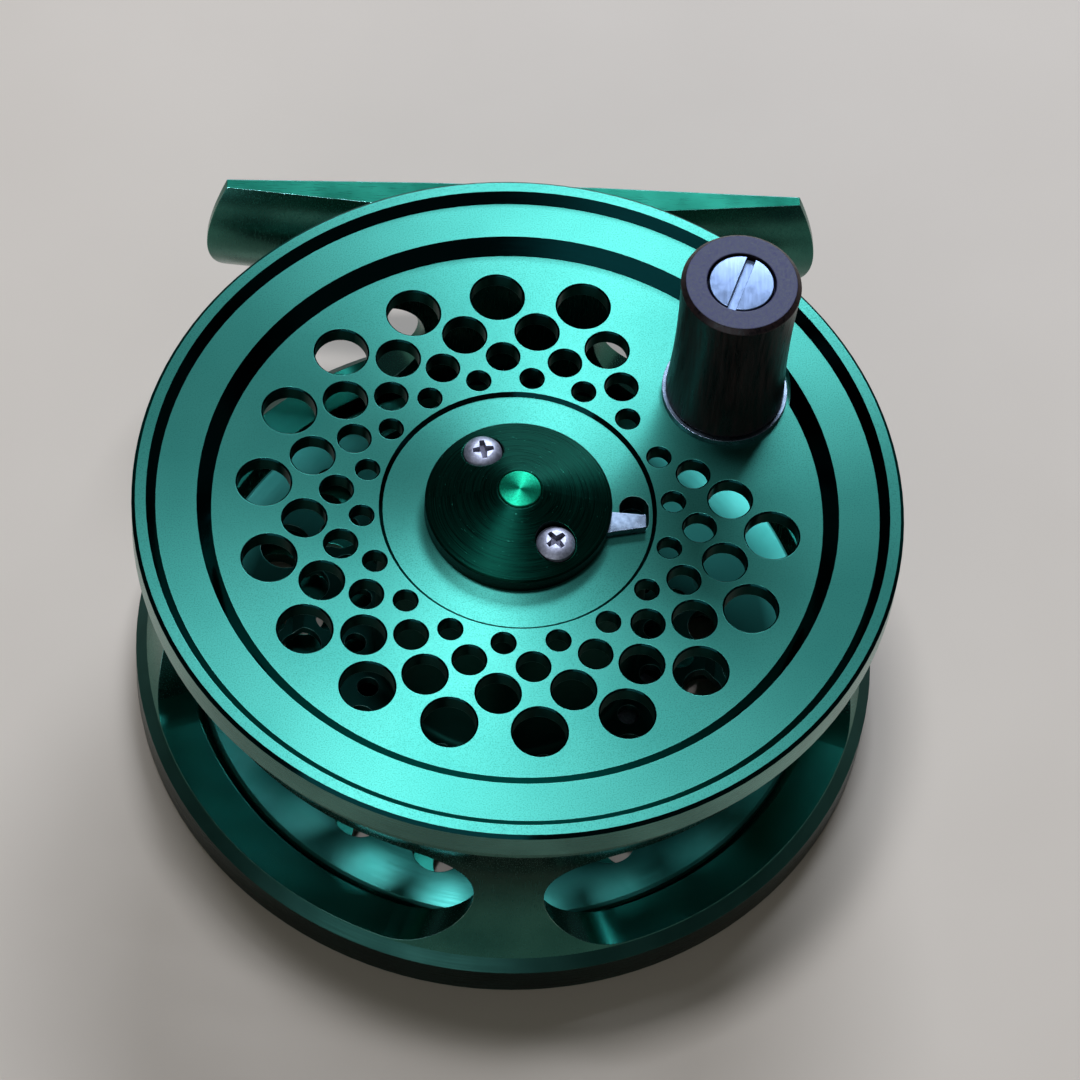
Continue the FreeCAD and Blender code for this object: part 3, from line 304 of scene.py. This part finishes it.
metalMarks = {"mark": 0.3, "shineToMark": 3, "stretch": (1, 1, 1),
              "depth": 0.002, "strength": 0.5, "round": 0.08}
metals = {
    "steel": {  # plated steel, satin: a soft grey-white sheen
        "name": "satinSteel", "deep": "#A09EA9", "light": "#BFBDC7", "roughness": (0.48, 0.6)},
    "shadedRecess": {  # the same steel down in a screw's cross, painted darker as shade so that the cross stands out
        "name": "shadedScrewRecess", "deep": "#6E6B78", "light": "#85828F", "roughness": (0.55, 0.68)},
    "nickel": {  # polished nickel plate: bright and cool, with broad soft scratches
        "name": "polishedNickel", "deep": "#75818E", "light": "#93A0AD", "roughness": (0.24, 0.34),
        "mark": 0.6, "depth": 0.001},
    "screwHead": {  # nickel plate brushed one way: a bluish head with straight hairlines
        "name": "satinNickelScrew", "deep": "#66748A", "light": "#72819A", "roughness": (0.28, 0.36),
        "mark": 0.25, "stretch": (1, 0.08, 1), "depth": 0.0006},
    "brass": {  # turned brass: warm yellow with a clear shine
        "name": "turnedBrass", "deep": "#9A7636", "light": "#C29A54", "roughness": (0.2, 0.34)},
}


def brightMetal(finish):
    # plain machined or plated metal: small scratches and a slightly uneven shine
    # the scratches are a few hundredths of a millimetre wide, too fine to show, so they are drawn coarser
    material, tree, shader = newMaterial(finish["name"], {"Metallic": 1.0})
    marks = grain(tree, finish["mark"], 3, finish["stretch"], rough=0.6)
    layColours(tree, shader, finish["deep"], (finish["light"], marks, middle, 1))
    layMarks(tree, shader, marks, finish, grain(tree, finish["mark"] * finish["shineToMark"], 2))
    return material


wood = {
    "dark": "#080405", "light": "#26110F", "grainWidth": 0.4, "stretch": (1, 1, 0.06),
    "band": 2.2, "bandStretch": (1, 1, 0.1), "bandShare": 0.6,
    "coat": 0.06, "coatRoughness": 0.25, "specular": 0.35,
    "roughness": (0.26, 0.5), "depth": 0.02, "strength": 0.5, "round": 0.2,
}


def oiledWood():
    # dark close-grained hardwood, turned and oiled: fine upright streaks under a low shine
    # its vessels are about 0.1 mm wide, too fine to show, so the streaks are drawn coarser
    material, tree, shader = newMaterial("oiledDarkWood", {
        "Coat Weight": wood["coat"], "Coat Roughness": wood["coatRoughness"],
        "Specular IOR Level": wood["specular"]})
    streaks = grain(tree, wood["grainWidth"], 4, wood["stretch"], rough=0.65)
    bands = grain(tree, wood["band"], 2, wood["bandStretch"])
    layColours(tree, shader, wood["dark"],
               (wood["light"], streaks, middle, 1),
               (wood["dark"], bands, middle, wood["bandShare"]))
    layMarks(tree, shader, streaks, wood)
    return material


# the end's blue colours are a painted sky reflection on the knob's top, over the real end grain
woodEnd = {
    "dark": "#110E2A", "light": "#241F49", "pore": 0.22,
    "coat": 0.05, "coatRoughness": 0.4, "specular": 0.35,
    "roughness": (0.4, 0.6), "depth": 0.015, "strength": 0.6, "round": 0.2,
}


def woodEndGrain():
    # the same wood cut across: open pores and a duller face, its blue tint a painted reflection of the sky
    # on the up-facing end
    # a pore is about 0.1 mm across, too fine to show, so it is drawn coarser
    material, tree, shader = newMaterial("darkWoodEndGrainSkySheen", {
        "Coat Weight": woodEnd["coat"], "Coat Roughness": woodEnd["coatRoughness"],
        "Specular IOR Level": woodEnd["specular"]})
    pores = grain(tree, woodEnd["pore"], 3, rough=0.7)
    layColours(tree, shader, woodEnd["dark"], (woodEnd["light"], pores, middle, 1))
    layMarks(tree, shader, pores, woodEnd)
    return material


materials = {
    "face": blastedAnodising(), "bevel": diamondCutBevel(), "inside": litAndShadedFlange(),
    "cap": faceTurnedCap(), "spindle": turnedSpindle(), "wood": oiledWood(), "endGrainAndSheen": woodEndGrain(),
}
for label, values in turned.items():
    materials[label] = turnedAnodising({**turnedMarks, **values})
for label, values in milled.items():
    materials[label] = milledAnodising({**milledMarks, **values})
for label, values in metals.items():
    materials[label] = brightMetal({**metalMarks, **values})
print("materials made:", len(materials))


def finishPiece(label, finishes, choose=None):
    # lays the finishes on a piece, each face by its place and its lean
    mesh = nodes[label].data
    mesh.materials.clear()
    for finish in finishes:
        mesh.materials.append(materials[finish])
    for face in mesh.polygons:
        radius = math.hypot(face.center.x, face.center.y)
        face.material_index = finishes.index(choose(face.center, face.normal, radius)) if choose else 0


# in these, a lean is the upward part of a face's normal: 1 looks straight up and 0 is an upright wall
spoolZones = {"faceDepth": 4.0, "sideDepth": 0.1, "faceLean": 0.9, "bevelLean": 0.3}
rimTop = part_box("spool")[1].z
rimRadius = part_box("spool")[1].x


def spoolFinish(centre, normal, radius):
    if centre.z < rimTop - spoolZones["faceDepth"] * mm:
        return "inside"
    if radius > rimRadius - spoolZones["sideDepth"] * mm:
        return "side"
    if normal.z > spoolZones["faceLean"]:
        return "face"
    return "bevel" if normal.z > spoolZones["bevelLean"] else "inside"


frameZones = {"sillBelow": 7.0, "sillLean": 0.9, "chamferBelow": 6.0, "chamferLean": (0.5, 0.85),
              "sideDepth": 0.2, "sideLean": 0.3}
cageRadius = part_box("frame")[1].x


def frameFinish(centre, normal, radius):
    leastLean, mostLean = frameZones["chamferLean"]
    if normal.z > frameZones["sillLean"] and centre.z < frameZones["sillBelow"] * mm:
        return "sill"
    if leastLean < normal.z < mostLean and centre.z < frameZones["chamferBelow"] * mm:
        return "chamfer"
    if radius > cageRadius - frameZones["sideDepth"] * mm and abs(normal.z) < frameZones["sideLean"]:
        return "shadedCageSide"
    return "cage"


screwZones = {"recessDepth": 0.5, "belowCap": 3.0, "floorLean": 0.9}
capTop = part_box("hub_cap")[1].z
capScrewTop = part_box("cap_screws")[1].z


def screwFinish(centre, normal, radius):
    highest = capScrewTop - screwZones["recessDepth"] * mm
    lowest = capTop - screwZones["belowCap"] * mm
    return "shadedRecess" if lowest < centre.z < highest and normal.z > screwZones["floorLean"] else "steel"


knobZones = {"endLean": 0.8}


def knobFinish(centre, normal, radius):
    return "endGrainAndSheen" if normal.z > knobZones["endLean"] else "wood"


footZones = {"edgeLean": 0.8}


def footFinish(centre, normal, radius):
    return "footEdge" if abs(normal.z) > footZones["edgeLean"] else "cage"


finishPiece("spool", ["face", "bevel", "side", "inside"], spoolFinish)
finishPiece("frame", ["cage", "sill", "shadedCageSide", "chamfer"], frameFinish)
finishPiece("knob", ["wood", "endGrainAndSheen"], knobFinish)
finishPiece("reel_foot", ["cage", "footEdge"], footFinish)
finishPiece("cap_screws", ["steel", "shadedRecess"], screwFinish)
onePieceFinishes = {
    "cap": ["hub_cap"], "spindle": ["spindle"], "screwHead": ["knob_screw"],
    "nickel": ["latch_lever", "knob_washer"],
    "steel": ["foot_screws", "spindle_screw", "pawl_posts", "latch_spring", "pawl_spring_screws",
              "left_pawl", "right_pawl", "left_pawl_spring", "right_pawl_spring"],
    "brass": ["click_gear", "knob_sleeve", "spool_lower_bush", "spool_upper_bush", "thrust_washer"],
}
for finish, labels in onePieceFinishes.items():
    for label in labels:
        finishPiece(label, [finish])
print("finishes laid")

floorBoard = {"size": 3.0, "cells": 8, "drop": 0.02, "dark": "#C3B19B", "light": "#C6B49E", "cloud": 30.0,
              "roughness": 0.6}  # the size is in metres


def makeFloor():
    bpy.ops.mesh.primitive_grid_add(x_subdivisions=floorBoard["cells"], y_subdivisions=floorBoard["cells"],
                                    size=floorBoard["size"])
    floor = bpy.context.object
    floor.name = "floor"
    floor.location.z = -floorBoard["drop"] * mm  # just clear of the reel's flat back, off its plane
    # a board under matt pale paint: an even ground, hardly mottled
    material, tree, shader = newMaterial("palePaintedBoard", {"Roughness": floorBoard["roughness"]})
    layColours(tree, shader, floorBoard["dark"],
               (floorBoard["light"], grain(tree, floorBoard["cloud"], detail=4), middle, 1))
    floor.data.materials.append(material)


lightAim = (0, 0, 0.02)
lights = {  # places and sizes in metres, power in watts
    "windowLight": {"place": (0.155, 0.775, 0.68), "size": (0.5, 0.27), "power": 10.5, "colour": "#D6E6FF"},
    "frontFill": {"place": (-0.35, -0.85, 0.42), "size": (0.9, 0.5), "power": 2.4, "colour": "#DCE6F0"},
    "overheadPanel": {"place": (-0.06, 0.14, 0.85), "size": (0.16, 0.12), "power": 3.8, "colour": "#DCE9FF"},
}
studio = {"colour": "#C9D2DA", "strength": 0.12}


def addLight(name, lamp):
    data = bpy.data.lights.new(name, "AREA")
    data.shape = "RECTANGLE"
    data.size, data.size_y = lamp["size"]
    data.energy = lamp["power"]
    data.color = linear(lamp["colour"])[:3]
    light = bpy.data.objects.new(name, data)
    bpy.context.scene.collection.objects.link(light)
    light.location = lamp["place"]
    light.rotation_euler = (Vector(lightAim) - Vector(lamp["place"])).to_track_quat("-Z", "Y").to_euler()


makeFloor()
for label, lamp in lights.items():
    addLight(label, lamp)
world = bpy.data.worlds.new("studio")
bpy.context.scene.world = world
world.use_nodes = True
sky = world.node_tree.nodes["Background"]
sky.inputs["Color"].default_value = linear(studio["colour"])
sky.inputs["Strength"].default_value = studio["strength"]
print("floor and lights set")

view = {"azimuth": 5.44, "elevation": 58.43, "roll": 6.24, "target": (3.0, 5.24, 16.0), "distance": 499.8,
        "lens": 163.8, "sensor": 36, "near": 10.0}  # angles in degrees


def makeCamera():
    data = bpy.data.cameras.new("camera")
    data.lens = view["lens"]
    data.sensor_width = view["sensor"]
    data.clip_start = view["near"] * mm
    camera = bpy.data.objects.new("camera", data)
    bpy.context.scene.collection.objects.link(camera)
    turn, rise, lean = (math.radians(view[angle]) for angle in ("azimuth", "elevation", "roll"))
    back = Vector((-math.sin(turn) * math.cos(rise), -math.cos(turn) * math.cos(rise), math.sin(rise)))
    level = Vector((-back.y, back.x, 0)).normalized()
    upright = back.cross(level)
    right = level * math.cos(lean) + upright * math.sin(lean)
    up = back.cross(right)
    place = (Vector(view["target"]) + back * view["distance"]) * mm
    camera.matrix_world = Matrix.Translation(place) @ Matrix((right, up, back)).transposed().to_4x4()
    bpy.context.scene.camera = camera


makeCamera()
bpy.context.scene.view_settings.view_transform = "Standard"
print("camera set")
